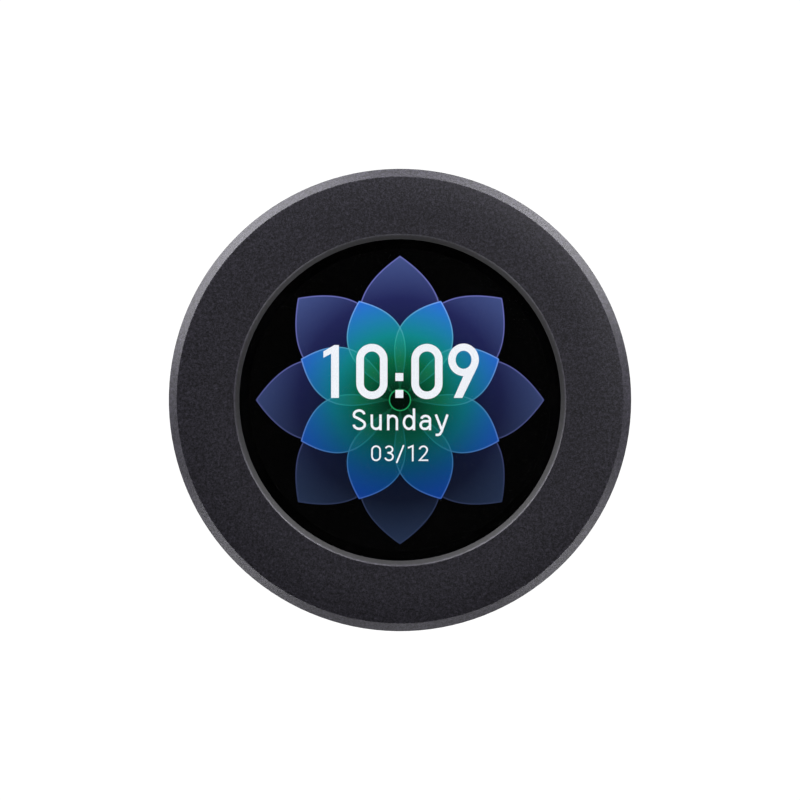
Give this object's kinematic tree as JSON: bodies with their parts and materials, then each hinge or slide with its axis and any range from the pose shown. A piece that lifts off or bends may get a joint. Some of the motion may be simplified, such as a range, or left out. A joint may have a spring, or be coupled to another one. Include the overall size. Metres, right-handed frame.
{
  "type": "smart display",
  "caption": "Round palm-sized touch display in a black turned metal case, lying on its back, with a charging socket and push buttons in its rim.",
  "frame": {"origin": "centre of the rear face, the face that it lies on", "axes": "+Z straight out of the screen, +Y towards the top of the screen, +X towards the screen's right; the charging socket is on the -Y side"},
  "size_m": [0.05, 0.05, 0.015],
  "materials": {
    "case_aluminium": "matte",
    "button_aluminium": "matte",
    "cover_plastic": "matte",
    "screw_steel": "satin",
    "standoff_brass": "satin",
    "black_adhesive": "matte",
    "cover_glass": "gloss",
    "touch_film": "gloss",
    "screen_cell": "gloss",
    "chip_black": "matte",
    "backlight_white": "satin",
    "light_guide": "gloss",
    "optical_films": "satin",
    "lamp_resin": "gloss",
    "foam": "matte",
    "solder_mask": "satin",
    "ribbon_film": "satin",
    "connector_plastic": "matte",
    "plated_steel": "satin",
    "port_plastic": "matte",
    "contact_gold": "polished",
    "plunger_plastic": "matte",
    "antenna_ceramic": "satin",
    "coil_ferrite": "satin",
    "small_ceramic": "satin",
    "battery_foil": "satin",
    "battery_tape": "matte",
    "lead_red": "satin",
    "lead_black": "satin"
  },
  "bodies": {
    "display_case": {"antenna": "antenna_ceramic", "backlight_frame": "backlight_white", "backlight_lamps": "lamp_resin", "battery_cell": "battery_foil", "battery_lead_black": "lead_black", "battery_lead_red": "lead_red", "battery_plug": "connector_plastic", "battery_socket": "connector_plastic", "battery_tape": "battery_tape", "bezel_tape": "black_adhesive", "charger_chip": "chip_black", "circuit_board": "solder_mask", "clock_crystal": "plated_steel", "cover_glass": "cover_glass", "cover_screws": "screw_steel", "foam_pad": "foam", "front_case": "case_aluminium", "glass_gasket": "black_adhesive", "left_switch_body": "port_plastic", "light_guide": "light_guide", "memory_chip": "chip_black", "motion_sensor": "chip_black", "optical_films": "optical_films", "port_contacts": "contact_gold", "port_shell": "plated_steel", "port_tongue": "port_plastic", "power_coil": "coil_ferrite", "processor_chip": "chip_black", "rear_cover": "cover_plastic", "reflector_film": "backlight_white", "right_switch_body": "port_plastic", "screen_cell": "screen_cell", "screen_connector": "connector_plastic", "screen_driver_chip": "chip_black", "screen_ribbon": "ribbon_film", "small_components": "small_ceramic", "standoffs": "standoff_brass", "touch_connector": "connector_plastic", "touch_film": "touch_film", "touch_ribbon": "ribbon_film"},
    "left_button_set": {"left_button": "button_aluminium", "left_switch_plunger": "plunger_plastic"},
    "right_button_set": {"right_button": "button_aluminium", "right_switch_plunger": "plunger_plastic"}
  },
  "joints": [
    {"name": "left_button_press", "type": "slide", "parent": "display_case", "child": "left_button_set", "axis": [0.4067, 0.9135, 0], "range_m": [0, 0.00025], "stiffness_N_per_m": 4000},
    {"name": "right_button_press", "type": "slide", "parent": "display_case", "child": "right_button_set", "axis": [-0.4067, 0.9135, 0], "range_m": [0, 0.00025], "stiffness_N_per_m": 4000}
  ]
}
